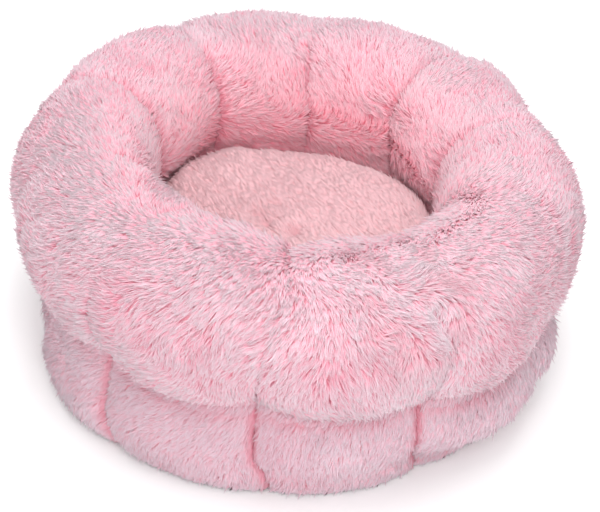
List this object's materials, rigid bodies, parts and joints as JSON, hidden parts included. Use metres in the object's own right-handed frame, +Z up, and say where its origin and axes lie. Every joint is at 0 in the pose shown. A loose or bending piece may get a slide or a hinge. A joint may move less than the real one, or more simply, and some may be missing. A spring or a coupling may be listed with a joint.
{
  "type": "pet cushion bed",
  "caption": "Round plush pet bed with a fat overstuffed roll round the top, a low channelled wall, a deep well and a loose crowned cushion in it.",
  "frame": {"origin": "on the floor at the centre of the bed, under the well", "axes": "+Z up; one wall seam at the front, at -Y"},
  "size_m": [0.5, 0.4938, 0.2159],
  "materials": {
    "plush": "long-pile plush, pale pink with whitish tips",
    "cushion_plush": "shorter lying pile, dusty pale pink",
    "fibre": "loose polyester fibre",
    "wadding": "bonded polyester wadding",
    "cloth": "plain non-woven cloth",
    "base_cloth": "close woven cloth, matt",
    "thread": "doubled sewing thread"
  },
  "bodies": {
    "bed": {"roll_panel_01": "plush", "roll_panel_02": "plush", "roll_panel_03": "plush", "roll_panel_04": "plush", "roll_panel_05": "plush", "roll_panel_06": "plush", "roll_panel_07": "plush", "roll_panel_08": "plush", "roll_panel_09": "plush", "roll_panel_10": "plush", "channel_panel_01": "plush", "channel_panel_02": "plush", "channel_panel_03": "plush", "channel_panel_04": "plush", "channel_panel_05": "plush", "channel_panel_06": "plush", "channel_panel_07": "plush", "channel_panel_08": "plush", "channel_panel_09": "plush", "channel_panel_10": "plush", "channel_fill_01": "fibre", "channel_fill_02": "fibre", "channel_fill_03": "fibre", "channel_fill_04": "fibre", "channel_fill_05": "fibre", "channel_fill_06": "fibre", "channel_fill_07": "fibre", "channel_fill_08": "fibre", "channel_fill_09": "fibre", "channel_fill_10": "fibre", "seam_web_01": "cloth", "seam_web_02": "cloth", "seam_web_03": "cloth", "seam_web_04": "cloth", "seam_web_05": "cloth", "seam_web_06": "cloth", "seam_web_07": "cloth", "seam_web_08": "cloth", "seam_web_09": "cloth", "seam_web_10": "cloth", "roll_fill": "fibre", "base_cloth": "base_cloth", "base_pad": "wadding", "floor_lining": "cloth"},
    "cushion": {"cushion_top_cover": "cushion_plush", "cushion_bottom_cover": "cushion_plush", "cushion_fill": "fibre", "cushion_tuft_tie": "thread"}
  },
  "joints": [
    {"name": "cushion_lift", "type": "slide", "parent": "bed", "child": "cushion", "axis": [0, 0, 1], "range_m": [0, 0.24]}
  ]
}
